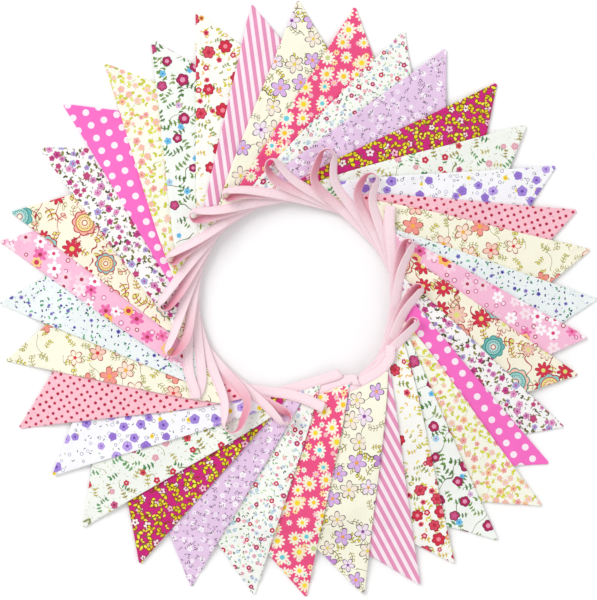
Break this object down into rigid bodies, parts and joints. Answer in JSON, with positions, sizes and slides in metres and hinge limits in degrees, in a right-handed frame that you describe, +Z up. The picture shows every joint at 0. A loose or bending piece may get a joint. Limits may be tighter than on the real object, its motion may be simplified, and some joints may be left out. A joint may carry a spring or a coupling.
{
  "type": "fabric bunting",
  "caption": "Triangular printed cotton pennants sewn along one folded bias tape, laid back and forth into a flat overlapping ring with an open middle.",
  "frame": {"origin": "on the floor plane under the centre of the bounding box, inside the hole at the middle of the ring", "axes": "+Z up out of the surface it lies on, +Y towards the top of the ring as pictured, +X to its right"},
  "size_m": [0.5962, 0.5952, 0.0335],
  "materials": {
    "creamLilac": "matte cotton poplin printed with lilac outlined flowers on cream",
    "daisy": "matte cotton poplin printed with cream daisies on rose pink",
    "tinyMulti": "matte cotton poplin printed with tiny many-coloured sprigs on white",
    "lilacDitsy": "matte cotton poplin printed with small white flowers on lilac",
    "magentaYellow": "matte cotton poplin printed with yellow leaves and pale flowers on magenta",
    "paleSprays": "matte cotton poplin printed with sparse sprays on off-white",
    "purpleRoses": "matte cotton poplin printed with purple flowers and yellow spots on white",
    "pinkDots": "matte cotton poplin printed with dark red dots on pink",
    "creamRed": "matte cotton poplin printed with red outlined flowers on cream",
    "blueDitsy": "matte cotton poplin printed with navy and green sprigs on pale blue-white",
    "pinkRetro": "matte cotton poplin printed with round white and crimson flowers on pink",
    "folkFlower": "matte cotton poplin printed with large teal and peach scalloped flowers on cream",
    "tinyRoses": "matte cotton poplin printed with small mauve roses on white",
    "polka": "matte cotton poplin printed with white spots on bright pink",
    "yellowFloral": "matte cotton poplin printed with yellow-green leaves and peach flowers on ivory",
    "roseVine": "matte cotton poplin printed with crimson roses on green vines on white",
    "redRose": "matte cotton poplin printed with red roses and yellow sprigs on white",
    "stripe": "matte cotton poplin with narrow slanting pink stripes",
    "tape": "matte folded cotton bias tape, pale pink, stitched along its open edge"
  },
  "bodies": {
    "root": {"pennant_01": "creamLilac", "pennant_02": "daisy", "pennant_03": "tinyMulti", "pennant_04": "lilacDitsy", "pennant_05": "magentaYellow", "pennant_06": "paleSprays", "pennant_07": "purpleRoses", "pennant_08": "pinkDots", "pennant_09": "creamRed", "pennant_10": "blueDitsy", "pennant_11": "pinkRetro", "pennant_12": "folkFlower", "pennant_13": "tinyRoses", "pennant_14": "polka", "pennant_15": "yellowFloral", "pennant_16": "roseVine", "pennant_17": "redRose", "pennant_18": "stripe", "pennant_19": "creamLilac", "pennant_20": "daisy", "pennant_21": "tinyMulti", "pennant_22": "lilacDitsy", "pennant_23": "magentaYellow", "pennant_24": "paleSprays", "pennant_25": "purpleRoses", "pennant_26": "pinkDots", "pennant_27": "creamRed", "pennant_28": "blueDitsy", "pennant_29": "pinkRetro", "pennant_30": "folkFlower", "pennant_31": "tinyRoses", "pennant_32": "polka", "pennant_33": "yellowFloral", "pennant_34": "roseVine", "pennant_35": "redRose", "pennant_36": "stripe", "bias_tape": "tape"}
  },
  "joints": []
}
